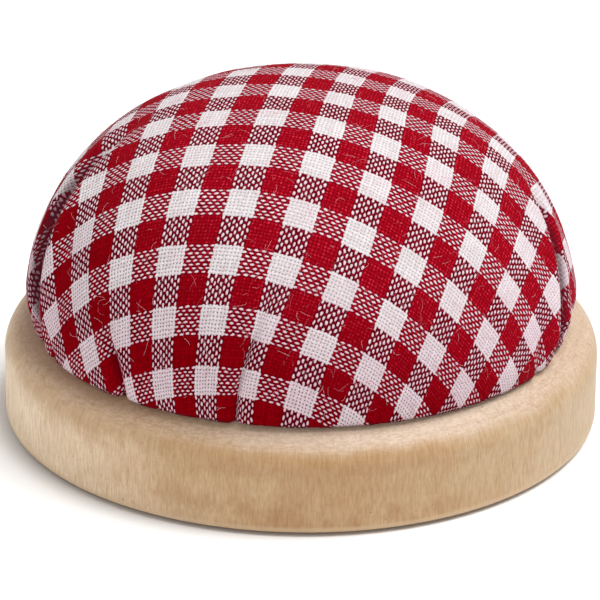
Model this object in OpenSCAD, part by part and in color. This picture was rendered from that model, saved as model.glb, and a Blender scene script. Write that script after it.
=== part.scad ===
// Pin cushion: a gingham-covered, stuffed dome held in a turned wooden base.
// Millimetres, +Z up. The origin is the centre of the face that it stands on.

/* [Wooden base] */
// Outside diameter of the base
base_d = 90; // [80:1:110]
// Height at which the upright side wall starts to turn inwards
wall_h = 10; // [9.5:0.5:11]
// Radius of the turned shoulder
shoulder_r = 4.5; // [4:0.5:5]
// Angle of the sloping band above the shoulder, from the horizontal
band_angle = 34.5; // [33:0.5:37]
// Width of the rim, from the side wall to the recess
rim_w = 5.9; // [5.7:0.1:6.3]
// Radius of the rim's inner lip
lip_r = 0.9; // [0.7:0.1:1]
// Radius of the bottom edge
foot_r = 0.75; // [0.5:0.05:1]
// Height of the recess's floor above the table
recess_z = 7.5; // [7.4:0.1:7.8]

/* [Felt pad] */
// Width of bare wood left around the felt
felt_margin = 8; // [7:0.5:12]
// Thickness of the felt
felt_t = 1.5; // [1.2:0.1:1.6]
// How far the felt stands below the wood
felt_proud = 0.3; // [0.2:0.1:0.6]

/* [Screw and washer] */
// Outside diameter of the screw's thread
screw_d = 3.5; // [3:0.1:4]
// Length of the screw below its head
screw_l = 9.5; // [8:0.5:9.5]
// Diameter of the pan head
head_d = 7; // [6:0.5:8]
// Height of the pan head
head_h = 2.2; // [2:0.1:2.3]
// Outside diameter of the washer
washer_d = 9; // [8.5:0.5:10]
// Thickness of the washer
washer_t = 0.8; // [0.6:0.1:0.8]

/* [Cushion] */
// How far the cushion's widest point is set in from the base's side
dome_margin = 3.2; // [2.8:0.1:3.4]
// Height of the cushion's widest point above the rim's lip
waist_up = 2.7; // [2.4:0.1:4]
// Height of the cushion's top above the table
dome_top = 51.2; // [44:0.2:60]
// Fullness of the dome's side, where 2 is an ellipse
side_power = 2.38; // [2:0.02:2.8]
// Fullness of the dome's crown, where 2 is an ellipse
crown_power = 1.87; // [1.7:0.01:2.4]
// Width of the hem turned under the backing board
hem_w = 9; // [8:0.5:16]
// Thickness of the gingham
cloth_t = 0.5; // [0.3:0.1:0.6]
// Thickness of the lining
lining_t = 0.4; // [0.3:0.1:0.5]

/* [Hidden] */
$fn = 96;
gap = 0.05;                 // clearance between neighbouring pieces
arc_steps = 8;              // segments in each rounded stretch of a section
dome_steps = 28;            // segments from the cushion's waist to its top

// Rim: a shoulder arc, a sloping band and a lip arc, each tangent to the next
base_r = base_d / 2;
recess_r = base_r - rim_w;
band_normal = 90 - band_angle;
shoulder_end = [base_r - shoulder_r * (1 - cos(band_normal)), wall_h + shoulder_r * sin(band_normal)];
lip_c_r = recess_r + lip_r;
lip_c_z = shoulder_end[1] - (lip_r + (lip_c_r - shoulder_end[0]) * cos(band_normal)) / sin(band_normal);

// Underside: the felt's rebate and the screw's counterbore
felt_r = base_r - felt_margin;
rebate_r = felt_r + 0.5;
counterbore_r = washer_d / 2 + 1;
hole_r = screw_d / 2 + 0.35;
washer_hole_r = screw_d / 2 + 0.2;
head_z = 3.9;               // the head's bearing face
seat_z = head_z + washer_t;

// Dome
dome_r = base_r - dome_margin;
waist_z = lip_c_z + lip_r + waist_up;

// Gathered cloth is thicker in the recess than over the dome
cover_neck_t = 1.4;
lining_neck_t = 1.0;
cover_hem_t = 1.2;
lining_hem_t = 0.8;
neck_clear = 0.1;           // between the cover and the rim
outer_corner_r = 2;
inner_corner_r = 1;
cover_z = recess_z + gap;
lining_z = cover_z + cover_hem_t + gap;

// Backing board, level with the middle of the lip
board_z = lining_z + lining_hem_t + gap;
board_top = lip_c_z - gap;
board_r = recess_r - neck_clear - cover_neck_t - lining_neck_t - 2 * gap;
board_edge_r = 0.8;
pilot_r = screw_d / 2 + gap;
hem_r = board_r - hem_w;

// Gathering thread
thread_r = 0.25;
thread_ring_r = hem_r - gap - thread_r;
thread_z = cover_z + cover_hem_t / 2;
thread_end_l = 8;
knot_r = 0.6;
knot_x = thread_ring_r - 0.8 * knot_r;
knot_turn = 35;             // the knot's place round the ring

// Screw: a plain neck, ridges for the thread, and a tip
core_r = screw_d / 2 - 0.5;
neck_l = 1.2;
tip_l = 2.4;
thread_pitch = 1.2;
ridge_rise = 0.45;          // along the screw, as parts of the pitch
ridge_crest = 0.1;
head_edge_r = 1;
cross_w = 0.9;
cross_l = head_d * 0.55;
cross_depth = head_h * 0.6;

// Points of an arc, or of an elliptical arc where the two radii differ
function arc(cr, cz, rr, rz, from, to, steps = arc_steps) =
    [for (i = [0 : steps]) let (a = from + (to - from) * i / steps) [cr + rr * cos(a), cz + rz * sin(a)]];

// One point of the dome, at angle a above its waist
function dome_point(a, inset) =
    [(dome_r - inset) * pow(cos(a), 2 / side_power),
     waist_z + (dome_top - waist_z - inset) * pow(sin(a), 2 / crown_power)];

// The dome from its top down to its waist
function dome_side(inset) =
    [for (i = [0 : dome_steps]) dome_point(90 - 90 * i / dome_steps, inset)];

// From the waist in over the rim's lip, and down to the neck
function tuck(inset, neck) = let (over = lip_r + neck_clear) concat(
    arc(lip_c_r, waist_z, dome_r - inset - lip_c_r, waist_up - neck_clear - inset, -10, -90),
    arc(lip_c_r, lip_c_z, over + neck, over + inset, 100, 180));

// Down the neck and round the corner to the hem's inner edge
function neck_and_hem(neck, hem_z, corner) = let (r = recess_r - neck_clear - neck) concat(
    arc(r - corner, hem_z + corner, corner, corner, 0, -90), [[hem_r, hem_z]]);

function reversed(list) = [for (i = [len(list) - 1 : -1 : 0]) list[i]];

// A cloth bag: a shell between an outer and an inner outline of the cushion
module bag(inset, t, neck, neck_t, hem_z, hem_t) {
    outer = concat(dome_side(inset), tuck(inset, neck),
                   neck_and_hem(neck, hem_z, outer_corner_r));
    inner = concat(dome_side(inset + t), tuck(inset + t, neck + neck_t),
                   neck_and_hem(neck + neck_t, hem_z + hem_t, inner_corner_r));
    rotate_extrude() polygon(concat(outer, reversed(inner)));
}

module wood_base() {
    color([0.86, 0.74, 0.55])
    rotate_extrude() polygon(concat(
        [[hole_r, seat_z], [counterbore_r, seat_z], [counterbore_r, felt_t],
         [rebate_r, felt_t], [rebate_r, felt_proud]],
        arc(base_r - foot_r, felt_proud + foot_r, foot_r, foot_r, -90, 0),
        arc(base_r - shoulder_r, wall_h, shoulder_r, shoulder_r, 0, band_normal),
        arc(lip_c_r, lip_c_z, lip_r, lip_r, band_normal, 180),
        [[recess_r, recess_z], [hole_r, recess_z]]));
}

module felt_pad() {
    color([0.24, 0.20, 0.17])
    cylinder(r = felt_r, h = felt_t);
}

module screw_washer() {
    color([0.78, 0.78, 0.80])
    translate([0, 0, head_z + gap / 2]) difference() {
        cylinder(r = washer_d / 2, h = washer_t - gap);
        translate([0, 0, -washer_t]) cylinder(r = washer_hole_r, h = 3 * washer_t);
    }
}

module pan_head() {
    difference() {
        rotate_extrude() polygon(concat(
            [[0, 0], [0, -head_h]],
            arc(head_d / 2 - head_edge_r, head_edge_r - head_h, head_edge_r, head_edge_r, -90, 0),
            [[head_d / 2, 0]]));
        for (turn = [0, 90])
            rotate(turn) translate([-cross_l / 2, -cross_w / 2, -2 * head_h])
                cube([cross_l, cross_w, head_h + cross_depth]);
    }
}

// A pan-head wood screw, driven upwards through the base into the board
module base_screw() {
    ridges = floor((screw_l - neck_l - tip_l) / thread_pitch);
    profile = [[0, core_r], [ridge_rise, screw_d / 2], [ridge_rise + ridge_crest, screw_d / 2]];
    color([0.72, 0.72, 0.74])
    translate([0, 0, head_z]) {
        pan_head();
        rotate_extrude() polygon(concat(
            [[0, -gap], [core_r, -gap], [core_r, neck_l]],
            [for (k = [0 : ridges - 1], p = profile) [p[1], neck_l + (k + p[0]) * thread_pitch]],
            [[core_r, screw_l - tip_l], [0, screw_l]]));
    }
}

module backing_board() {
    color([0.76, 0.62, 0.42])
    rotate_extrude() polygon(concat(
        [[pilot_r, board_z]],
        arc(board_r - board_edge_r, board_z + board_edge_r, board_edge_r, board_edge_r, -90, 0),
        arc(board_r - board_edge_r, board_top - board_edge_r, board_edge_r, board_edge_r, 0, 90),
        [[pilot_r, board_top]]));
}

module filling() {
    inset = cloth_t + lining_t + 2 * gap;
    neck = cover_neck_t + lining_neck_t + 2 * gap;
    color([0.96, 0.95, 0.92])
    rotate_extrude() polygon(concat(dome_side(inset), tuck(inset, neck), [[0, lip_c_z]]));
}

module lining_bag() {
    color([0.93, 0.90, 0.84])
    bag(cloth_t + gap, lining_t, cover_neck_t + gap, lining_neck_t, lining_z, lining_hem_t);
}

module gingham_cover() {
    color([0.78, 0.08, 0.16])
    bag(0, cloth_t, 0, cover_neck_t, cover_z, cover_hem_t);
}

// A ring of thread inside the hem's edge, with a knot and two cut ends
module gather_thread() {
    color([0.92, 0.90, 0.86]) {
        translate([0, 0, thread_z]) rotate_extrude()
            translate([thread_ring_r, 0]) circle(r = thread_r, $fn = 24);
        rotate(knot_turn) translate([knot_x, 0, thread_z]) {
            sphere(r = knot_r, $fn = 32);
            for (turn = [155, 205])
                rotate([0, 0, turn]) rotate([0, 90, 0])
                    cylinder(r = thread_r, h = thread_end_l, $fn = 24);
        }
    }
}

wood_base();
felt_pad();
screw_washer();
base_screw();
backing_board();
filling();
lining_bag();
gingham_cover();
gather_thread();
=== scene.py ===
import math

import bpy
import numpy as np
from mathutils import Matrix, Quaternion, Vector


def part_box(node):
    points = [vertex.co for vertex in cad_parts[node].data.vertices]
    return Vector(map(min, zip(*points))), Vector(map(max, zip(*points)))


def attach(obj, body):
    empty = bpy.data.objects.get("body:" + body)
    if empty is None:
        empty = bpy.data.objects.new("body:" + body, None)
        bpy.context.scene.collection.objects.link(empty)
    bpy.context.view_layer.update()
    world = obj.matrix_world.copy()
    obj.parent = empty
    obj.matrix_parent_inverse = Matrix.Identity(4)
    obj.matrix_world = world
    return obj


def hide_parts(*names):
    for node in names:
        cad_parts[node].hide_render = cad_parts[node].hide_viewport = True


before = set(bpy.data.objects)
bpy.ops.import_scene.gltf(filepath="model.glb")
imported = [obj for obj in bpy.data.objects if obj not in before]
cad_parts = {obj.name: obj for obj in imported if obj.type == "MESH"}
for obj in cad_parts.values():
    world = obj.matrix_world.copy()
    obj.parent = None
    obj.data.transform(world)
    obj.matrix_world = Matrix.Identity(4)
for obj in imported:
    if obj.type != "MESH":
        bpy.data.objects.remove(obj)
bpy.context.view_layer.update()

MM = 0.001

# ================================================================ measures, in millimetres
base_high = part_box("wood_base")[1] / MM
cover_low, cover_high = (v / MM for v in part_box("gingham_cover"))
lining_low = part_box("lining_bag")[0] / MM
fill_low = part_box("filling")[0] / MM
board_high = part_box("backing_board")[1] / MM
felt_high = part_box("felt_pad")[1] / MM

RIM_W = 5.9                     # the rim's width, and the bead round its inner edge
LIP_R = 0.9
BASE_R = base_high.x
RIM_TOP = base_high.z
RECESS_R = BASE_R - RIM_W
LIP_C_R = RECESS_R + LIP_R
LIP_C_Z = RIM_TOP - LIP_R
WAIST_Z = RIM_TOP + 2.7         # where the cushion is widest, just above the rim
DOME_R = cover_high.x
DOME_TOP = cover_high.z
SIDE_POWER = 2.38               # how upright the sides are, and how flat the crown is
CROWN_POWER = 1.87
BAND_SLOPE = 0.687              # how steeply the band falls away from the lip
GAP = 0.2                       # between the lip and the cloth over it
HEM_R = board_high.x - 9        # where the cut edge ends, under the board
HEM_CORNER_R = 2.0
CROWN_LEAN = 0.40               # how far the crown leans to +X, and the sides to -X
SIDE_LEAN = 0.2

# The gingham
YARNS_PER_STRIPE = 8
WARP_PITCH = 0.53               # between neighbouring warp yarns, and weft yarns
WEFT_PITCH = 0.556
CUT_R = 79.0                    # radius of the flat round cut
COVER_T = 0.3
COVER_GATHER = 0.42             # half the height of the gathers under the rim
STRIPE_SHIFT = (25.1, 19.2)     # where the stripes fall on the round cut, in yarns
WEAVE_TURN = -12.5              # how the weave was turned on the dome, and pulled askew
WEAVE_SKEW = -2.5

# Cloth pulled over the dome while it was drawn down: where on the flat cut, how far round
# about, and the pull in X and Y. They lie at the front near the rim, at the front right of
# the crown, and at its right.
PULLS = [(6, -60, 12, -3, 2), (22, -24, 18, 1.4, -2), (22, 10, 14, -3, -1.5)]

# The layers inside: how far in they lie on the dome, and at the neck
LINING_INSET, LINING_NECK_INSET = 0.75, 1.3
LINING_T = 0.2
LINING_CUT_R = 76.0
LINING_PITCH = 0.4
LINING_GATHER = 0.22
FILL_INSET, FILL_NECK_INSET = 1.4, 2.4


# ================================================================ the cushion's section
def arc(centre_r, centre_z, size_r, size_z, start, end, count):
    """Points along part of an ellipse, from start to end in degrees."""
    a = np.radians(np.linspace(start, end, count))
    return np.stack([centre_r + size_r * np.cos(a), centre_z + size_z * np.sin(a)], 1)


class Section:
    """A layer's profile from the dome's top down to the hem, by arc length."""

    step = 0.1
    past_crown = 50                 # the waist, lip, neck and hem all lie further on than this

    def __init__(self, inset=0.0, neck_inset=0.0):
        a = np.radians(np.linspace(90, 0, 400))
        wide, high = DOME_R - inset, DOME_TOP - WAIST_Z - inset
        dome = np.stack([wide * np.cos(a) ** (2 / SIDE_POWER),
                         WAIST_Z + high * np.sin(a) ** (2 / CROWN_POWER)], 1)
        over_r, over_z = LIP_R + GAP + neck_inset, LIP_R + GAP + inset
        tuck = arc(LIP_C_R, WAIST_Z, DOME_R - inset - LIP_C_R, WAIST_Z - LIP_C_Z - over_z, -3, -90, 40)
        lip = arc(LIP_C_R, LIP_C_Z, over_r, over_z, 95, 180, 20)
        neck_r = LIP_C_R - over_r
        hem_z = cover_low.z + neck_inset
        corner_r, corner_z = neck_r - HEM_CORNER_R, hem_z + HEM_CORNER_R
        corner = arc(corner_r, corner_z, HEM_CORNER_R, HEM_CORNER_R, 0, -90, 20)
        points = np.concatenate([dome, tuck, lip, corner, [[5.0, hem_z]]])
        length = np.concatenate([[0], np.cumsum(np.hypot(*np.diff(points, axis=0).T))])
        self.s = np.arange(0, length[-1], self.step)
        self.r = np.interp(self.s, length, points[:, 0])
        self.z = np.interp(self.s, length, points[:, 1])
        self.dr = np.gradient(self.r, self.step)
        self.dz = np.gradient(self.z, self.step)
        low = self.s > self.past_crown
        self.waist = self.s[np.argmax((self.z < WAIST_Z) & low)]
        self.lip = self.s[np.argmax((self.z < RIM_TOP + GAP) & low)]
        self.neck = self.s[np.argmax((self.z < LIP_C_Z) & low)]
        self.end = self.s[np.argmax((self.r < HEM_R) & low)]

    def lift(self, q):
        """From flat polar places (arc length, azimuth) to points and the two unit tangents."""
        s = np.minimum(np.hypot(q[..., 0], q[..., 1]), self.s[-1] - 2 * self.step)
        i = (s / self.step).astype(int)
        f = s / self.step - i
        r, z, dr, dz = (t[i] * (1 - f) + t[i + 1] * f for t in (self.r, self.z, self.dr, self.dz))
        azimuth = np.arctan2(q[..., 1], q[..., 0])
        c, sn = np.cos(azimuth), np.sin(azimuth)
        point = np.stack([r * c, r * sn, z], -1)
        down = np.stack([dr * c, dr * sn, dz], -1)
        across = np.stack([-sn, c, 0 * c], -1)
        return point, down, across, s, r


def unit(v):
    """Vectors in the same directions, of length 1."""
    return v / np.maximum(np.linalg.norm(v, axis=-1, keepdims=True), 1e-9)


def capped(q, limit):
    """Places no further than limit from the middle."""
    reach = np.maximum(np.hypot(q[..., 0], q[..., 1]), 1e-9)
    return q * (np.minimum(reach, limit) / reach)[..., None]


# ================================================================ draping the cover
def net_links(h):
    """Neighbours in the net: two slices, rest length, and whether they share a yarn."""
    most, rest, whole = slice(None, -1), slice(1, None), slice(None)
    return [((most, whole), (rest, whole), h, True),
            ((whole, most), (whole, rest), h, True),
            ((most, most), (rest, rest), h * math.sqrt(2), False),
            ((rest, most), (most, rest), h * math.sqrt(2), False)]


def drape(section, pull=1.0, push=0.05, slack=0.95, shear=0.01, even=0.02, draw_in=0.2,
          damping=0.85, pace=0.5):
    """Relaxes a net of yarns over the cushion, from coarse to fine. The yarns hardly stretch,
    give when pushed together and turn easily at their crossings, and the cut edge is drawn in
    to the hem. The arguments are the stiffnesses, with slack the share of push that is lost
    past the lip and even the one that spreads yarns evenly, and then how the steps are taken.
    Returns the net's grid lines and its flat polar places."""
    grid = q = None
    for h, rounds in ((4.8, 400), (2.4, 300), (1.2, 200)):
        n = math.ceil((CUT_R + 2 * h) / h)
        finer = np.arange(-n, n + 1) * h
        a, b = np.meshgrid(finer, finer, indexing="ij")
        if q is None:
            t1, t2 = np.radians(WEAVE_TURN), np.radians(WEAVE_TURN + 90 + WEAVE_SKEW)
            q = np.stack([a * np.cos(t1) + b * np.cos(t2), a * np.sin(t1) + b * np.sin(t2)], -1)
        else:
            q = sample(grid, q, a, b)
        grid = finer
        rho = np.hypot(a, b)
        inside = (rho <= CUT_R + 1.5 * h).astype(float)
        edge = inside * (rho > CUT_R - 1.2 * h) * draw_in
        velocity = np.zeros_like(q)
        for _ in range(rounds):
            q = capped(q, section.end)
            x, down, across, s, r = section.lift(q)
            free = np.clip((s - section.lip) / 3, 0, 1)
            force = np.zeros_like(x)
            weight = np.full(s.shape, 0.3 + 4 * even)
            for one, other, rest, same_yarn in net_links(h):
                both = inside[one] * inside[other]
                d = x[other] - x[one]
                length = np.sqrt((d * d).sum(-1)) + 1e-9
                if same_yarn:
                    k = both * np.where(length > rest, pull, push * (1 - slack * free[other]))
                else:
                    k = both * shear
                f = (k * (length - rest) / length + same_yarn * even * both)[..., None] * d
                force[one] += f
                force[other] -= f
                weight[one] += k
                weight[other] += k
            ds = ((force * down).sum(-1) + edge * (section.end - s)) / (weight + edge)
            dt = (force * across).sum(-1) / (weight + edge)
            ds, dt = np.clip(ds, -h / 2, h / 2), np.clip(dt, -h / 2, h / 2)
            dt = dt * np.where(s < 0.5, 1, np.minimum(s / np.maximum(r, 1e-3), 4))
            c, sn = across[..., 1], -across[..., 0]
            velocity = damping * velocity + pace * np.stack([ds * c - dt * sn, ds * sn + dt * c], -1)
            q = q + velocity * inside[..., None]
    return grid, capped(q, section.end)


def sample(grid, q, a, b):
    """Catmull-Rom interpolation of a net at cloth places a, b."""
    h = grid[1] - grid[0]

    def split(v):
        f = np.clip((v - grid[0]) / h, 1, len(grid) - 2.001)
        i = f.astype(int)
        t = f - i
        return i, [-0.5 * t + t ** 2 - 0.5 * t ** 3, 1 - 2.5 * t ** 2 + 1.5 * t ** 3,
                   0.5 * t + 2 * t ** 2 - 1.5 * t ** 3, -0.5 * t ** 2 + 0.5 * t ** 3]

    (i, wa), (j, wb) = split(a), split(b)
    return sum(wa[k][..., None] * wb[l][..., None] * q[i + k - 1, j + l - 1]
               for k in range(4) for l in range(4))


def cover_places(section, net, a, b):
    """Where the cover's cloth lies. Past the recess it runs straight in to the hem."""
    rho = np.maximum(np.hypot(a, b), 1e-9)
    turned_under = 0.86 * CUT_R
    shrink = np.minimum(rho, turned_under) / rho
    q = sample(*net, a * shrink, b * shrink)
    for pull_a, pull_b, reach, move_x, move_y in PULLS:
        w = np.exp(-((a - pull_a) ** 2 + (b - pull_b) ** 2) / (2 * reach ** 2))
        q = q + w[..., None] * np.array([move_x, move_y])
    s = np.hypot(q[..., 0], q[..., 1])
    share = np.clip((rho - turned_under) / (CUT_R - turned_under), 0, 1)
    return q * ((s + (section.end - s) * share) / np.maximum(s, 1e-9))[..., None]


# ================================================================ shaping a draped layer
def smooth_step(x, low, high):
    """0 at low, 1 at high, and smooth between."""
    t = np.clip((x - low) / (high - low), 0, 1)
    return t * t * (3 - 2 * t)


def value_noise(x, y, seed):
    """Smooth noise on a unit lattice, from -0.5 to 0.5."""
    i, j = np.floor(x), np.floor(y)
    f, g = smooth_step(x - i, 0, 1), smooth_step(y - j, 0, 1)

    def corner(p, r):
        n = np.sin(p * 127.1 + r * 311.7 + seed * 74.7) * 43758.5453
        return n - np.floor(n) - 0.5

    return ((corner(i, j) * (1 - f) + corner(i + 1, j) * f) * (1 - g)
            + (corner(i, j + 1) * (1 - f) + corner(i + 1, j + 1) * f) * g)


# Folds down the sides, where spare cloth was tucked in: azimuth and height at the rim end and
# at the top end, depth, half width, the cloth that the fold takes in from each side, and the
# share of its depth that is left at the rim. The last two rows are broad dents in the sides.
FOLDS = [
    (-159, 16, -180, 44, 5.0, 2.1, 1.8, 0.25),
    (-23, 16, -3, 38, 3.5, 1.6, 1.35, 0.9),
    (-128, 16, -134, 26, 1.1, 1.0, 0.6, 1),
    (-103, 16, -95, 36, 0.75, 1.0, 0.75, 1),
    (-150, 16, -153, 21, 0.5, 0.9, 0.3, 1),
    (-34, 16, -33, 22, 0.5, 0.8, 0.3, 1),
    (14, 16, 22, 33, 1.2, 1.3, 0.9, 1),
    (38, 16, 35, 25, 0.8, 1.1, 0.6, 1),
    (62, 16, 70, 36, 1.2, 1.3, 0.9, 1),
    (96, 16, 93, 24, 0.7, 1.1, 0.5, 1),
    (118, 16, 111, 34, 1.1, 1.3, 0.8, 1),
    (143, 16, 149, 27, 0.9, 1.1, 0.6, 1),
    (166, 16, 160, 35, 1.2, 1.3, 0.9, 1),
    (-8, 16, -8, 20, 1.1, 12, 0, 1),
    (-172, 16, -172, 20, 0.8, 12, 0, 1),
]


def outward(down, across):
    """The unit normal that points out of the cushion."""
    return -unit(np.cross(across, down))


def folded(section, place, s, ease=0.0):
    """How far the folds push the cloth out and sideways, and the painted shade inside a fold. The
    layers inside give way by ease, which keeps them clear of most of the cover's folds."""
    azimuth = np.arctan2(place[..., 1], place[..., 0])
    radius = np.hypot(place[..., 0], place[..., 1])
    height = place[..., 2]
    off, side, deep = np.zeros_like(s), np.zeros_like(s), np.zeros_like(s)
    above_rim = smooth_step(height, RIM_TOP + 1, RIM_TOP + 4)
    on_side = smooth_step(s, 12, 20) * (1 - smooth_step(s, section.lip - 0.5, section.neck))
    for low_azimuth, low_z, high_azimuth, high_z, depth, half, take, foot in FOLDS:
        t = np.clip((height - low_z) / (high_z - low_z), 0, 1.3)
        centre = np.radians(low_azimuth + (high_azimuth - low_azimuth) * t ** 1.8)
        away = (azimuth - centre + math.pi) % (2 * math.pi) - math.pi
        d = away * radius / (half + ease)
        fade = on_side * (1 - smooth_step(t, 0.5, 1.15))
        depth = (depth + ease) * fade * (foot + (1 - foot) * smooth_step(t, 0, 0.4))
        take = take / (1 + ease)
        swell = 0.2 * (ease == 0) * above_rim * np.exp(-((np.abs(d) - 2.3) / 1.2) ** 2)
        off += depth * (swell - np.exp(-d ** 2))
        side -= take * fade * np.tanh(d) * np.exp(-(d / 8) ** 2)
        # painted shade in a fold is most on its wall that is nearer the back
        from_back_wall = d - 0.7 * np.sign(np.cos(centre))
        deep += (take > 0) * depth * np.exp(-(0.8 * from_back_wall) ** 2)
    return off, side, deep


def settled(height, settle):
    """How far cloth below its widest sags out and down, to lie close to the band beside the
    lip. It takes the roll from a round one to a squarer one."""
    kept_clear, share = 0.3, 0.88
    under = np.clip((WAIST_Z - height) / (WAIST_Z - RIM_TOP - GAP), 0, 1)
    proud = DOME_R - LIP_C_R
    square = (1 - under ** 4) ** 0.25
    out = proud * (square - np.sqrt(1 - under ** 2))
    fall = np.maximum(proud * square - kept_clear, 0) * BAND_SLOPE * under ** 2
    return settle * out, settle * share * fall


def shaped(section, q, gather, settle=1.0, ease=0.0):
    """Points of a layer at flat polar places q, with its folds, lumps, lean and gathers."""
    x, down, across, s, _ = section.lift(q)
    normal = outward(down, across)
    azimuth = np.arctan2(x[..., 1], x[..., 0])
    height = x[..., 2]
    off, side, _ = folded(section, x, s, ease)
    above_lip = s < section.lip
    out, sag = settled(height, settle * above_lip)
    on_dome = 1 - smooth_step(s, section.waist - 6, section.waist + 1.5)
    off += on_dome * (0.7 * value_noise(x[..., 0] / 14 + 9, x[..., 1] / 14 + 5, 1)
                      + 0.22 * value_noise(x[..., 0] / 6 + 3, x[..., 1] / 6 + 8, 2) - 0.1)
    waves = 68
    drift = 3 * value_noise(azimuth * 2.5 + 20, 0 * azimuth + 4, 3)
    wave = np.sin(azimuth * waves + drift * 3 + 0.5 * np.sin(azimuth * 7))
    off += gather * smooth_step(s, section.lip, section.neck + 2) * (wave - 1)
    x = x + normal * off[..., None] + across * side[..., None]
    x += np.stack([out * np.cos(azimuth), out * np.sin(azimuth), -sag], -1)
    level = np.clip((height - WAIST_Z) / (DOME_TOP - WAIST_Z), 0, 1)
    x[..., 0] += (CROWN_LEAN * level ** 4
                  - SIDE_LEAN * np.sin(math.pi * np.clip(level * 1.15, 0, 1)))
    return x


# ================================================================ meshes
def disc_grid(n):
    """A square grid mapped evenly onto the unit disc, as n + 1 by n + 1 places."""
    u, v = np.meshgrid(np.linspace(-1, 1, n + 1), np.linspace(-1, 1, n + 1), indexing="ij")
    wide = np.abs(u) >= np.abs(v)
    r = np.where(wide, u, v)
    other = np.where(wide, v, u)
    turn = math.pi / 4 * other / np.where(r == 0, 1, r)
    a = np.where(wide, turn, math.pi / 2 - turn)
    return r * np.cos(a), r * np.sin(a)


def grid_faces(n):
    """The four-sided faces of a grid of n + 1 by n + 1 points."""
    i = np.arange((n + 1) ** 2).reshape(n + 1, n + 1)
    return np.stack([i[:-1, :-1], i[1:, :-1], i[1:, 1:], i[:-1, 1:]], -1).reshape(-1, 4)


def grid_edge(n):
    """The grid's boundary, once round."""
    i = np.arange((n + 1) ** 2).reshape(n + 1, n + 1)
    return np.concatenate([i[:-1, 0], i[-1, :-1], i[:0:-1, -1], i[0, :0:-1]])


def new_piece(name, points, faces, **attributes):
    """A mesh object from points in millimetres, with smooth shading and point attributes."""
    mesh = bpy.data.meshes.new(name)
    mesh.from_pydata((np.asarray(points) * MM).tolist(), [], [tuple(face) for face in faces])
    for key, values in attributes.items():
        values = np.asarray(values, np.float32)
        vector = values.ndim == 2
        layer = mesh.attributes.new(key, "FLOAT_VECTOR" if vector else "FLOAT", "POINT")
        layer.data.foreach_set("vector" if vector else "value", values.ravel())
    mesh.validate()
    mesh.shade_smooth()
    obj = bpy.data.objects.new(name, mesh)
    bpy.context.scene.collection.objects.link(obj)
    return obj


def vertex_normals(points, n):
    """Normals of a grid of points, pointing out of the cushion."""
    grid = points.reshape(n + 1, n + 1, 3)
    return unit(np.cross(np.gradient(grid, axis=0), np.gradient(grid, axis=1)).reshape(-1, 3))


def between(name, top, under, n, **attributes):
    """A closed mesh between two grids of points, joined round their edges."""
    count = len(top)
    faces, edge = grid_faces(n), grid_edge(n)
    after = np.roll(edge, -1)
    side = np.stack([edge, edge + count, after + count, after], 1)
    return new_piece(name, np.concatenate([top, under]),
                     np.concatenate([faces, faces[:, ::-1] + count, side]), **attributes)


def thick_sheet(name, points, n, thickness, **attributes):
    """A closed sheet: the outer face as given, and an inner face set in by its thickness."""
    inner = points - vertex_normals(points, n) * thickness
    both = {key: np.concatenate([value, value]) for key, value in attributes.items()}
    return between(name, points, inner, n, **both)


def make_cover():
    """The gingham, draped and folded, with its yarns numbered for the material."""
    n = 216
    a, b = (v.ravel() * CUT_R for v in disc_grid(n))
    section = Section()
    q = cover_places(section, drape(section), a, b)
    yarns = np.stack([a / WARP_PITCH + STRIPE_SHIFT[0], STRIPE_SHIFT[1] - b / WEFT_PITCH, 0 * a], 1)
    place, _, _, s, _ = section.lift(q)
    # how much painted shade each point gets in the folds
    deep = folded(section, place, s)[2]
    obj = thick_sheet("cover_cloth", shaped(section, q, COVER_GATHER), n, COVER_T,
                      yarns=yarns, deep=deep)
    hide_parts("gingham_cover")
    return dress(obj, gingham())


def make_lining():
    """The plain cloth under the gingham."""
    n = 120
    section = Section(LINING_INSET, LINING_NECK_INSET)
    a, b = (v.ravel() for v in disc_grid(n))
    q = np.stack([a, b], 1) * section.end
    yarns = np.stack([a, b, 0 * a], 1) * LINING_CUT_R / LINING_PITCH
    points = shaped(section, q, LINING_GATHER, settle=0.0, ease=0.5)
    obj = thick_sheet("lining_cloth", points, n, LINING_T, yarns=yarns)
    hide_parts("lining_bag")
    return dress(obj, calico())


def make_filling():
    """The wad of stuffing: the dome inside the lining, down to the board, and closed below."""
    n = 120
    section = Section(FILL_INSET, FILL_NECK_INSET)
    foot = section.s[np.argmax((section.z < fill_low.z + 0.6) & (section.s > section.past_crown))]
    a, b = (v.ravel() for v in disc_grid(n))
    top = shaped(section, np.stack([a, b], 1) * foot, 0.0, settle=0.0, ease=1.0)
    tufts = 0.35 * value_noise(top[:, 0] / 2.3 + top[:, 2], top[:, 1] / 2.3 + top[:, 2], 5)
    top -= vertex_normals(top, n) * (0.2 + tufts)[:, None] * smooth_step(top[:, 2], 16, 20)[:, None]
    rim = np.hypot(top[:, 0], top[:, 1])[grid_edge(n)].min() - 0.3
    level = fill_low.z + 0.15 + 0.2 * (value_noise(a * 9 + 3, b * 9 + 7, 6) + 0.5)
    under = np.stack([a * rim, b * rim, level], 1)
    obj = between("filling_wad", top, under, n)
    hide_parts("filling")
    return dress(obj, fibre())


def directions(path, closed):
    """The unit direction of a path at each of its points."""
    if closed:
        return unit(np.roll(path, -1, 0) - np.roll(path, 1, 0))
    return unit(np.gradient(path, axis=0))


def square_to(along, guide):
    """Two unit vectors at right angles to each direction and to each other."""
    first = unit(np.cross(along, guide))
    return first, np.cross(along, first)


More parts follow.
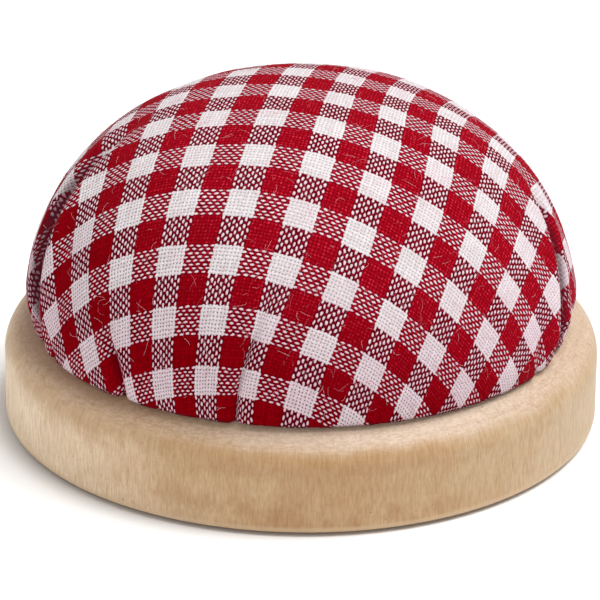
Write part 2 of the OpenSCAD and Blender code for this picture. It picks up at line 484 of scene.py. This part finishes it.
def tube(path, radius, sides, closed=False):
    """Points and faces of a round tube along a path, closed into a ring or capped."""
    count = len(path)
    along = directions(path, closed)
    guide = np.array([0.0, 0.0, 1.0])
    if np.abs(along @ guide).max() > 0.95:
        guide = np.array([0.31, 0.87, 0.38])
    first, second = square_to(along, guide)
    a = np.arange(sides) * 2 * math.pi / sides
    ring = first[:, None] * np.cos(a)[:, None] + second[:, None] * np.sin(a)[:, None]
    points = (path[:, None] + ring * radius).reshape(-1, 3)
    k = np.arange(count if closed else count - 1)[:, None]
    j = np.arange(sides)[None]
    here, ahead = k * sides, (k + 1) % count * sides
    turn = (j + 1) % sides
    faces = np.stack([here + j, here + turn, ahead + turn, ahead + j], -1).reshape(-1, 4).tolist()
    if not closed:
        faces.append(list(range(sides))[::-1])
        faces.append([(count - 1) * sides + i for i in range(sides)])
    return points, faces


def joined(parts):
    """Several (points, faces) as one."""
    points, faces, start = [], [], 0
    for part_points, part_faces in parts:
        points.append(part_points)
        faces += [[start + i for i in face] for face in part_faces]
        start += len(part_points)
    return np.concatenate(points), faces


def twisted(path, offset, pitch, strand, strands=2, closed=False):
    """One strand's path in a yarn twisted round a path."""
    length = np.concatenate([[0], np.cumsum(np.linalg.norm(np.diff(path, axis=0), axis=1))])
    first, second = square_to(directions(path, closed), [0.02, 0.03, 1.0])
    turns = round(length[-1] / pitch)
    share = length / length[-1] * turns * (1 - 1 / len(path) * closed)
    a = 2 * math.pi * (share + strand / strands)
    return path + offset * (first * np.cos(a)[:, None] + second * np.sin(a)[:, None])


def make_thread():
    """The drawn-up running thread of two twisted strands, its knot and two cut ends."""
    ring_r, middle_z = HEM_R - 0.35, (cover_low.z + lining_low.z) / 2
    strand_r, offset, pitch, sides = 0.12, 0.12, 1.3, 8
    stitches, stitch_rise = 34, 0.18
    around = np.arange(1500) * 2 * math.pi / 1500
    ring = np.stack([ring_r * np.cos(around), ring_r * np.sin(around),
                     middle_z + stitch_rise * np.sin(stitches * around)], 1)
    parts = [tube(twisted(ring, offset, pitch, k, closed=True), strand_r, sides, closed=True)
             for k in (0, 1)]
    turn = math.radians(35)
    out = np.array([math.cos(turn), math.sin(turn), 0])
    along = np.array([-math.sin(turn), math.cos(turn), 0])
    up = np.array([0, 0, 1])
    knot_at = out * (ring_r - 0.45) + up * middle_z
    a = np.arange(90) * 2 * math.pi / 90
    trefoil = np.stack([np.sin(a) + 2 * np.sin(2 * a), np.cos(a) - 2 * np.cos(2 * a),
                        -np.sin(3 * a)], 1)
    knot = knot_at + 0.14 * (trefoil[:, :1] * along + trefoil[:, 1:2] * up * 0.8
                             + trefoil[:, 2:] * out * 1.3)
    parts.append(tube(knot, 0.17, 10, closed=True))
    end_long, end_apart = 7.6, 3.2
    for sway in (-1, 1):
        t = np.linspace(0, 1, 60)[:, None]
        end = (knot_at - out * (0.3 + end_long * t)
               + along * sway * (0.25 + end_apart * t + 0.5 * np.sin(5 * t))
               + up * 0.12 * np.sin(9 * t + sway))
        parts += [tube(twisted(end, offset, pitch, k), strand_r, sides) for k in (0, 1)]
    obj = new_piece("running_thread", *joined(parts))
    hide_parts("gather_thread")
    return dress(obj, twine())


def make_fuzz():
    """Fine loose fibres that stand off the cotton."""
    rng = np.random.default_rng(11)
    count, steps, sides, fibre_r = 1700, 6, 3, 0.014
    section = Section()
    azimuth = rng.uniform(-math.pi, math.pi, count)
    s = section.waist * np.sqrt(rng.uniform(0.0, 1.02, count))
    place = np.stack([s * np.cos(azimuth), s * np.sin(azimuth)], 1)
    heading = rng.uniform(0, 2 * math.pi, count)
    length = rng.uniform(0.8, 3.2, count)
    bend = rng.normal(0, 0.9, count)
    lift_off = rng.uniform(0.05, 0.40, count)
    parts = []
    for k in range(count):
        t = np.linspace(0, 1, steps)
        turn = heading[k] + bend[k] * t
        way = np.cumsum(np.stack([np.cos(turn), np.sin(turn)], 1), 0) * length[k] / steps
        x = shaped(section, place[k] + way, COVER_GATHER)
        _, down, across, *_ = section.lift(place[k] + way)
        rise = -0.02 + lift_off[k] * np.sin(math.pi * t) ** 0.7
        parts.append(tube(x + outward(down, across) * rise[:, None], fibre_r, sides))
    points, faces = joined(parts)
    tone = np.repeat(rng.uniform(0, 1, count), steps * sides)
    obj = new_piece("cover_fuzz", points, faces, tone=tone)
    return dress(obj, lint())


def make_felt():
    """A felt disc with a soft cut edge."""
    n = 96
    a, b = disc_grid(n)
    a, b = a.ravel(), b.ravel()
    rho = np.hypot(a, b)
    radius = felt_high.x - 0.12 + 0.1 * value_noise(np.arctan2(b, a) * 12 + 40, 0 * a, 8)
    x, y = a * radius, b * radius
    soft_edge = 0.35 * smooth_step(rho, 0.985, 1.0)
    nap = 0.05 * value_noise(x / 0.9 + 50, y / 0.9 + 50, 9) + 0.025
    top = np.stack([x, y, felt_high.z - 0.06 - soft_edge - nap], 1)
    under = np.stack([x, y, soft_edge + nap], 1)
    obj = between("felt_disc", top, under, n)
    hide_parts("felt_pad")
    return dress(obj, felt())


# ================================================================ materials
class Shader:
    """A material's node tree, with short calls for the nodes used here."""

    def __init__(self, name):
        self.material = bpy.data.materials.new(name)
        self.material.use_nodes = True
        self.nodes = self.material.node_tree.nodes
        self.links = self.material.node_tree.links
        self.nodes.clear()

    def node(self, kind, inputs=(), **settings):
        n = self.nodes.new("ShaderNode" + kind)
        for key, value in settings.items():
            setattr(n, key, value)
        for key, value in dict(inputs).items():
            self.put(n.inputs[key], value)
        return n

    def put(self, socket, value):
        if isinstance(value, bpy.types.NodeSocket):
            self.links.new(value, socket)
        else:
            socket.default_value = value

    def math(self, operation, *values, clamp=False):
        node = self.node("Math", dict(enumerate(values)), operation=operation, use_clamp=clamp)
        return node.outputs[0]

    def add(self, a, b):
        return self.math("ADD", a, b)

    def minus(self, a, b):
        return self.math("SUBTRACT", a, b)

    def times(self, a, b):
        return self.math("MULTIPLY", a, b)

    def mix(self, share, a, b):
        return self.node("Mix", {0: share, 6: a, 7: b}, data_type="RGBA").outputs[2]

    def blend(self, share, a, b):
        return self.node("Mix", {0: share, 2: a, 3: b}, data_type="FLOAT").outputs[0]

    def step(self, value, low, high, top=1.0):
        """A smooth step from 0 at low up to top at high."""
        return self.node("MapRange", {0: value, 1: low, 2: high, 4: top},
                         interpolation_type="SMOOTHSTEP").outputs[0]

    def vector(self, x, y, z):
        return self.node("CombineXYZ", {0: x, 1: y, 2: z}).outputs[0]

    def split(self, vector):
        return self.node("SeparateXYZ", {0: vector}).outputs

    def place(self):
        return self.node("TexCoord").outputs["Object"]

    def attribute(self, name, output="Vector"):
        return self.node("Attribute", attribute_name=name).outputs[output]

    def noise(self, vector, scale, detail=2.0, roughness=0.5):
        inputs = {"Vector": vector, "Scale": scale, "Detail": detail, "Roughness": roughness}
        return self.node("TexNoise", inputs).outputs["Fac"]

    def done(self, colour, roughness, height=None, depth_mm=0.1, strength=1.0, **more):
        """Joins it all to a surface, with a bump from height, and returns the material."""
        inputs = {"Base Color": colour, "Roughness": roughness, "Specular IOR Level": 0.3}
        inputs.update({key.replace("_", " "): value for key, value in more.items()})
        if height is not None:
            bump = {"Height": height, "Distance": depth_mm * MM, "Strength": strength}
            inputs["Normal"] = self.node("Bump", bump).outputs[0]
        surface = self.node("BsdfPrincipled", inputs).outputs[0]
        self.node("OutputMaterial", {"Surface": surface})
        return self.material


def weave(m, yarns, warp_width, weft_width, swing=0.5, roundness=0.75):
    """A plain weave: the two yarns' numbers, the place counted in yarns, whether the warp is
    on top, and the height of the top yarn. The widths are functions that give a yarn's half
    width from its own number and the number of the yarn it crosses."""
    unevenness, thick_and_thin = 0.9, 0.16
    x, y, _ = m.split(yarns)
    x = m.add(x, m.times(m.minus(m.noise(yarns, 0.55, 3), 0.5), unevenness))
    far = m.node("VectorMath", {0: yarns, 1: (37.0, 11.0, 5.0)}, operation="ADD").outputs[0]
    y = m.add(y, m.times(m.minus(m.noise(far, 0.55, 3), 0.5), unevenness))
    slub = m.times(m.minus(m.noise(far, 1.1), 0.5), thick_and_thin)
    numbers = m.math("ROUND", x), m.math("ROUND", y)
    heights = []
    for own, other, number, crossed, width, sign in (
            (x, y, *numbers, warp_width, 1.0), (y, x, *numbers[::-1], weft_width, -1.0)):
        over = m.times(m.math("COSINE", m.times(number, math.pi)), sign)
        middle = m.times(over, m.math("COSINE", m.times(other, math.pi)))
        half_width = m.add(slub, width(number, crossed))
        off = m.math("DIVIDE", m.minus(own, number), half_width)
        section = m.minus(1.0, m.times(off, off))
        bow = m.math("SQRT", m.math("MAXIMUM", section, 0.0))
        height = m.add(m.times(middle, swing), m.times(bow, roundness))
        missing = m.math("LESS_THAN", section, 0.0)
        heights.append(m.minus(height, missing))
    warp_on_top = m.math("GREATER_THAN", *heights)
    return numbers, (x, y), warp_on_top, m.math("MAXIMUM", *heights)


def red_stripe(m, number):
    """1 on a yarn that is dyed red, and 0 on a white one."""
    stripe = m.math("FLOOR", m.math("DIVIDE", m.add(number, 0.5), float(YARNS_PER_STRIPE)))
    return m.math("FLOORED_MODULO", stripe, 2.0)


def red_cotton(m, yarns, spread, top, painted_light):
    """Dyed yarn. Painted light brightens the red, with painted highlights where a yarn stands proud."""
    colour = m.mix(spread, (0.180, 0.0, 0.002, 1), (0.240, 0.0, 0.004, 1))
    colour = m.mix(m.times(painted_light, 0.35), colour, (0.42, 0.006, 0.020, 1))
    # nap: painted highlights on the tops of yarns that stand proud, under the painted light
    nap = m.times(m.step(top, 0.95, 1.24), m.step(m.noise(yarns, 0.8, 2), 0.42, 0.66))
    return m.mix(m.times(nap, m.times(painted_light, 0.65)), colour, (0.85, 0.05, 0.10, 1))


def white_cotton(m, yarns, spread, top, z, some_red):
    """White yarn. It has taken up a little dye in patches, is pinker beside red yarns, and has painted
    red bounce light low down.
    """
    colour = m.mix(spread, (0.66, 0.595, 0.605, 1), (0.75, 0.70, 0.71, 1))
    patch = m.step(m.noise(yarns, 0.035, 3), 0.45, 0.75, 0.22)
    # painted red light bounced from the cloth around, low down where the whites lie in shade
    low = m.minus(0.34, m.step(z, 0.018, 0.042, 0.34))
    tint = m.add(m.add(m.times(some_red, 0.20), patch), low)
    colour = m.mix(tint, colour, (0.72, 0.42, 0.52, 1))
    # painted shade, tinted pink, on the low sides of white yarns beside red ones
    dip_shade = m.times(some_red, m.minus(1.0, m.step(top, 0.35, 1.05)))
    return m.mix(dip_shade, colour, (0.45, 0.10, 0.15, 1))


def between_yarns(m, painted_light, some_red, only_weft_red, all_red):
    """Painted shade in the gaps of the weave, lighter under the painted light over the crown and right
    side.
    """
    gap = m.mix(painted_light, (0.20, 0.16, 0.17, 1), (0.52, 0.46, 0.47, 1))
    gap = m.mix(some_red, gap, (0.045, 0.0, 0.005, 1))
    gap = m.mix(only_weft_red, gap, (0.014, 0.0, 0.003, 1))
    return m.mix(all_red, gap, (0.165, 0.0, 0.002, 1))


def gingham():
    """Red and white dyed yarns in a plain weave."""
    m = Shader("gingham")
    yarns = m.attribute("yarns")
    side, _, z = m.split(m.place())

    def width(squeeze):
        """Red yarns are fuller, and squeeze the white ones that cross them."""
        white, red = 0.345, 0.375
        return lambda number, crossed: m.blend(
            red_stripe(m, number), m.minus(white, m.times(red_stripe(m, crossed), squeeze)), red)

    (warp, weft), (x, y), warp_on_top, top = weave(m, yarns, width(0.025), width(0.068))
    warp_red, weft_red = red_stripe(m, warp), red_stripe(m, weft)
    red = m.blend(warp_on_top, weft_red, warp_red)
    some_red = m.math("MAXIMUM", warp_red, weft_red)
    all_red = m.times(warp_red, weft_red)
    only_weft_red = m.minus(weft_red, all_red)
    # each yarn has its own tone, which drifts slowly along it
    tone = m.blend(warp_on_top, m.noise(m.vector(m.times(x, 0.06), weft, 8.3), 1.3, 1),
                   m.noise(m.vector(warp, m.times(y, 0.06), 1.7), 1.3, 1))
    spread = m.step(tone, 0.35, 0.65)
    # painted light over the crown and down the right side
    painted_light = m.step(m.add(z, m.times(side, 0.45)), 0.016, 0.046)
    white_yarn = white_cotton(m, yarns, spread, top, z, some_red)
    colour = m.mix(red, white_yarn, red_cotton(m, yarns, spread, top, painted_light))
    # a red weft that dips under white warp lies in its shadow
    shadow = m.times(m.times(only_weft_red, m.minus(1.0, warp_on_top)), 0.50)
    colour = m.mix(shadow, colour, (0.022, 0.0, 0.004, 1))
    gap = between_yarns(m, painted_light, some_red, only_weft_red, all_red)
    # painted shade: each yarn darkens into the gaps' painted shade where it dips
    colour = m.mix(m.step(top, 0.05, 0.62), gap, colour)
    # painted shade where the cloth turns under, over the rim
    turned = m.minus(1.0, m.step(z, (RIM_TOP - 0.3) * MM, (RIM_TOP + 0.6) * MM))
    colour = m.mix(m.times(turned, 0.85), colour, (0.05, 0.003, 0.008, 1))
    # and painted shade, down in the folds
    painted_fold_shade = m.step(m.attribute("deep", "Fac"), 0.5, 2.8, 0.8)
    colour = m.mix(painted_fold_shade, colour, (0.06, 0.008, 0.014, 1))
    fuzz = m.noise(yarns, 2.4, 3, 0.7)
    height = m.add(m.times(top, m.blend(all_red, 1.0, 0.45)), m.times(fuzz, 0.35))
    return m.done(colour, 1.0, height, 0.10, 0.8, Specular_IOR_Level=0.0,
                  Sheen_Weight=0.05, Sheen_Roughness=0.30, Sheen_Tint=(1.0, 0.72, 0.78, 1))


def calico():
    """Unbleached cotton, with yarns of one width both ways."""
    def width(number, crossed):
        return 0.42

    m = Shader("calico")
    yarns = m.attribute("yarns")
    _, _, _, top = weave(m, yarns, width, width)
    patch = m.step(m.noise(yarns, 0.08, 3), 0.35, 0.7, 0.6)
    shade = m.times(m.step(top, 0.0, 0.9), m.minus(1.0, m.times(patch, 0.3)))
    colour = m.mix(shade, (0.74, 0.68, 0.56, 1), (0.86, 0.80, 0.69, 1))
    return m.done(colour, 0.9, top, 0.08, 0.8)


def fibre():
    m = Shader("fibre")
    place = m.place()
    x, y, z = m.split(place)
    stretched = m.vector(m.times(x, 400.0), m.times(m.add(y, z), 2600.0), m.times(z, 500.0))
    strands = m.noise(stretched, 1.0, 5, 0.7)
    clumps = m.noise(place, 260.0, 3)
    colour = m.mix(m.step(m.add(m.times(strands, 0.6), m.times(clumps, 0.4)), 0.35, 0.62),
                   (0.66, 0.65, 0.62, 1), (0.90, 0.89, 0.86, 1))
    return m.done(colour, 0.95, strands, 0.25, 0.9)


def twine():
    m = Shader("twine")
    place = m.place()
    strands = m.noise(place, 9000.0, 3, 0.7)
    colour = m.mix(m.step(strands, 0.35, 0.65), (0.70, 0.67, 0.60, 1), (0.88, 0.86, 0.80, 1))
    return m.done(colour, 0.85, strands, 0.03, 0.7)


def lint():
    m = Shader("lint")
    tone = m.attribute("tone", "Fac")
    colour = m.mix(m.step(tone, 0.35, 0.8), (0.70, 0.10, 0.17, 1), (0.88, 0.62, 0.66, 1))
    grain = m.noise(m.place(), 2000.0)
    return m.done(m.mix(m.times(grain, 0.3), colour, (0.9, 0.8, 0.8, 1)), 0.9)


def felt():
    m = Shader("felt")
    place = m.place()
    hairs = m.noise(place, 2200.0, 5, 0.75)
    clouds = m.noise(place, 220.0, 3)
    tone = m.add(m.times(hairs, 0.7), m.times(clouds, 0.3))
    colour = m.mix(m.step(tone, 0.38, 0.62), (0.010, 0.007, 0.005, 1), (0.050, 0.036, 0.028, 1))
    return m.done(colour, 0.97, hairs, 0.15, 0.9, Sheen_Weight=0.3)


def with_fine_grain(m, colour, upper, polar, round_noise):
    """Short vertical streaks on the wall, and short turning marks on the band."""
    radius, angle, z = polar
    for size, contrast, level in ((1.3, 0.05, 80.0), (3.2, 0.10, 95.0)):
        fine_size, long_size = size * 900, size * 20
        turning = m.vector(m.times(radius, fine_size), m.times(z, fine_size), m.times(angle, long_size))
        up_wall = round_noise(size, size * 0.16, 3, 0.7, level)
        marks = m.blend(upper, up_wall, m.noise(turning, 1.0, 3, 0.7))
        contrast = m.add(m.times(upper, 0.05), contrast)
        darker = m.mix(contrast, colour, (0.26, 0.13, 0.05, 1))
        lighter = m.mix(contrast, colour, (0.90, 0.76, 0.58, 1))
        colour = m.mix(m.step(marks, 0.36, 0.64), darker, lighter)
    return colour


def with_lip_shade(m, colour, x, z, radius):
    """Painted shade, reddish brown, on the band beside the lip under the cloth, nearly all of it at the
    far left.
    """
    lip_edge = (LIP_C_R + 0.5) * MM
    lip_shade = m.minus(1.0, m.step(radius, lip_edge, lip_edge + 0.0032))
    lip_shade = m.times(lip_shade, m.step(z, 0.0125, 0.0140))
    lip_shade = m.times(lip_shade, m.minus(0.68, m.step(x, -0.036, -0.012, 0.63)))
    return m.mix(lip_shade, colour, (0.27, 0.11, 0.06, 1))


def birch():
    """Turned birch: streaks up the wall, turning lines on the band, and a toasted shoulder.
    Heights and distances are in metres, except where a name says mm."""
    m = Shader("birch")
    x, y, z = m.split(m.place())
    radius = m.math("SQRT", m.add(m.times(x, x), m.times(y, y)))
    angle = m.math("ARCTAN2", y, x)
    # noise that runs round the wall without a seam, by going round a circle
    ring_x, ring_y = m.math("DIVIDE", x, radius), m.math("DIVIDE", y, radius)
    wall_r = BASE_R * MM

    def round_noise(per_mm, per_mm_up, detail=3.0, roughness=0.6, level=0.0):
        across, up = wall_r * per_mm / MM, per_mm_up / MM
        height = m.add(m.times(z, up), level)
        vector = m.vector(m.times(ring_x, across), m.times(ring_y, across), height)
        return m.noise(vector, 1.0, detail, roughness)

    streaks = round_noise(3.0, 0.30, 4, 0.75)
    pores = round_noise(6.5, 1.3, 2, 0.6, 60.0)
    broad = round_noise(0.09, 0.10, 4, 0.6, 3.0)
    blotch = round_noise(0.16, 0.16, 3, 0.6, 9.0)
    turned = m.vector(m.times(radius, 1500.0), m.times(z, 1500.0), m.times(angle, 2.2))
    lines = m.noise(turned, 1.0, 4, 0.6)
    wander = m.times(m.minus(round_noise(0.13, 0.1, 3, 0.6, 33.0), 0.5), 0.0030)
    shoulder_z = m.add(z, wander)
    upper = m.step(shoulder_z, 0.0114, 0.0138)
    fine = m.blend(upper, streaks, lines)
    # the plank's end grain, at the front and back, is browner than its sides
    end_grain = m.math("POWER", m.math("ABSOLUTE", ring_y), 4.0)
    shade = m.math("MULTIPLY_ADD", m.minus(broad, 0.5), -1.0, end_grain, clamp=True)
    # painted light and shade: the wall is painted paler towards the left and darker towards the right
    paler = m.mix(m.step(x, -0.045, 0.045), (0.86, 0.68, 0.47, 1), (0.54, 0.395, 0.24, 1))
    wall = m.mix(shade, paler, (0.485, 0.275, 0.105, 1))
    band = m.mix(shade, (0.60, 0.455, 0.34, 1), (0.58, 0.425, 0.31, 1))
    colour = m.mix(upper, wall, band)
    dark_fine = m.times(m.step(m.minus(1.0, fine), 0.38, 0.70), m.blend(upper, 0.45, 0.25))
    colour = m.mix(dark_fine, colour, (0.34, 0.19, 0.085, 1))
    colour = m.mix(m.step(pores, 0.50, 0.74, 0.42), colour, (0.36, 0.20, 0.09, 1))
    # toasted shoulder
    near = m.times(m.step(shoulder_z, 0.0080, 0.0100),
                   m.minus(1.0, m.step(shoulder_z, 0.0112, 0.0138)))
    toast = m.times(near, m.step(round_noise(0.14, 0.30, 4, 0.65, 20.0), 0.34, 0.62, 0.80))
    toast = m.times(toast, m.add(m.times(end_grain, 0.65), 0.35))
    colour = m.mix(toast, colour, (0.41, 0.215, 0.075, 1))
    # brown blotches low on the wall
    low = m.minus(1.0, m.step(z, 0.0035, 0.0090))
    stain = m.step(m.add(blotch, m.times(streaks, 0.16)), 0.54, 0.70, 0.75)
    stain = m.times(m.times(low, end_grain), stain)
    colour = m.mix(stain, colour, (0.38, 0.185, 0.06, 1))
    # painted shadow of the cushion on the band at the left, and a little browner band at the far right
    left, right = m.minus(1.0, m.step(x, -0.020, -0.004)), m.step(x, 0.026, 0.040, 0.40)
    band_shadow_and_tan = m.times(m.step(shoulder_z, 0.0096, 0.0122), m.add(left, right))
    band_shadow_and_tan = m.times(band_shadow_and_tan, m.add(m.times(blotch, 0.60), 0.25))
    colour = m.mix(band_shadow_and_tan, colour, (0.40, 0.215, 0.075, 1))
    colour = with_fine_grain(m, colour, upper, (radius, angle, z), round_noise)
    # a paler rounded foot, and small dark flecks
    foot = m.minus(1.0, m.step(z, 0.0009, 0.0016))
    colour = m.mix(m.times(foot, 0.7), colour, (0.60, 0.43, 0.27, 1))
    fleck = m.step(round_noise(2.0, 1.7, 1, 0.4, 40.0), 0.765, 0.80, 0.6)
    colour = m.mix(fleck, colour, (0.18, 0.09, 0.03, 1))
    colour = with_lip_shade(m, colour, x, z, radius)
    return m.done(colour, 0.52, m.add(fine, pores), 0.05, 0.5, Specular_IOR_Level=0.5)


def plywood():
    m = Shader("plywood")
    x, y, z = m.split(m.place())
    grain = m.noise(m.vector(m.times(x, 60.0), m.times(y, 900.0), m.times(z, 900.0)), 1.0, 4, 0.6)
    plies = m.step(m.math("SINE", m.times(z, 2 * math.pi / 0.00125)), -0.2, 0.2, 0.5)
    colour = m.mix(m.step(grain, 0.35, 0.65), (0.42, 0.28, 0.14, 1), (0.60, 0.44, 0.26, 1))
    return m.done(m.mix(plies, colour, (0.34, 0.21, 0.10, 1)), 0.7, grain, 0.05, 0.6)


def zinc():
    m = Shader("zinc")
    place = m.place()
    clouds = m.noise(place, 900.0, 3)
    fine = m.noise(place, 6000.0, 2)
    colour = m.mix(m.step(clouds, 0.35, 0.65), (0.42, 0.43, 0.46, 1), (0.60, 0.61, 0.64, 1))
    return m.done(colour, m.blend(clouds, 0.25, 0.45), fine, 0.01, 0.5, Metallic=1.0)


# ================================================================ camera, light and floor
def set_camera():
    """Looks down at the front a little, from well back, rolled very slightly."""
    elevation, roll = math.radians(23.87), math.radians(0.67)
    distance, target = 695.8, Vector((0, 0, 22))
    lens, sensor = 276.2, 36
    aim_right, aim_up = -0.3, -4.28         # beside the target, to place it in the frame
    back = Vector((0, -math.cos(elevation), math.sin(elevation)))
    up = Vector((0, math.sin(elevation), math.cos(elevation)))
    right = Vector((1, 0, 0))
    rolled_right = right * math.cos(roll) + up * math.sin(roll)
    rolled_up = up * math.cos(roll) - right * math.sin(roll)
    aim = target + rolled_right * aim_right + rolled_up * aim_up
    camera = bpy.data.cameras.new("camera")
    camera.lens, camera.sensor_width = lens, sensor
    camera.clip_start, camera.clip_end = 0.01, 10
    obj = bpy.data.objects.new("camera", camera)
    bpy.context.scene.collection.objects.link(obj)
    obj.location = (aim + back * distance) * MM
    obj.rotation_mode = "QUATERNION"
    obj.rotation_quaternion = (-back).to_track_quat("-Z", "Y") @ Quaternion((0, 0, 1), roll)
    bpy.context.scene.camera = obj


def add_light(light, location):
    """A light at a place, in metres, which shines at the object."""
    obj = bpy.data.objects.new(light.name, light)
    obj.location = location
    obj.rotation_euler = (-Vector(location)).to_track_quat("-Z", "Y").to_euler()
    bpy.context.scene.collection.objects.link(obj)


def set_stage():
    """Soft light from all round, a broad sun from above and the right, a weak light low on
    the left, and a pale floor."""
    world = bpy.data.worlds.new("world")
    world.use_nodes = True
    background = world.node_tree.nodes["Background"]
    background.inputs["Color"].default_value = (1, 1, 1, 1)
    background.inputs["Strength"].default_value = 0.50
    bpy.context.scene.world = world
    sun = bpy.data.lights.new("key", "SUN")
    sun.energy, sun.angle = 2.95, math.radians(38)
    add_light(sun, (0.38, 0.0, 0.92))
    side = bpy.data.lights.new("side", "AREA")
    side.shape, side.size, side.energy = "DISK", 0.3, 0.6
    add_light(side, (-0.55, -0.28, 0.05))
    floor = new_piece("floor", [(-3000, -3000, -0.2), (3000, -3000, -0.2), (3000, 3000, -0.2),
                                (-3000, 3000, -0.2)], [(0, 1, 2, 3)])
    m = Shader("floor_card")
    shade = m.noise(m.place(), 3.0)
    floor.data.materials.append(m.done(m.mix(shade, (0.92, 0.92, 0.92, 1), (0.96, 0.96, 0.96, 1)), 0.9))
    bpy.context.scene.view_settings.view_transform = "Standard"


# ================================================================ putting it together
def dress(obj, material):
    """Gives a piece its material, and the body that it rides on."""
    obj.data.materials.append(material)
    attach(obj, "root")
    return obj


def redress(node, material):
    """Gives a CAD node a better material, in place of its own."""
    for material_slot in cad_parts[node].material_slots:
        material_slot.material = material


set_camera()
set_stage()
redress("wood_base", birch())
redress("backing_board", plywood())
redress("base_screw", zinc())
redress("screw_washer", zinc())
make_felt()
make_filling()
make_lining()
make_cover()
make_thread()
make_fuzz()
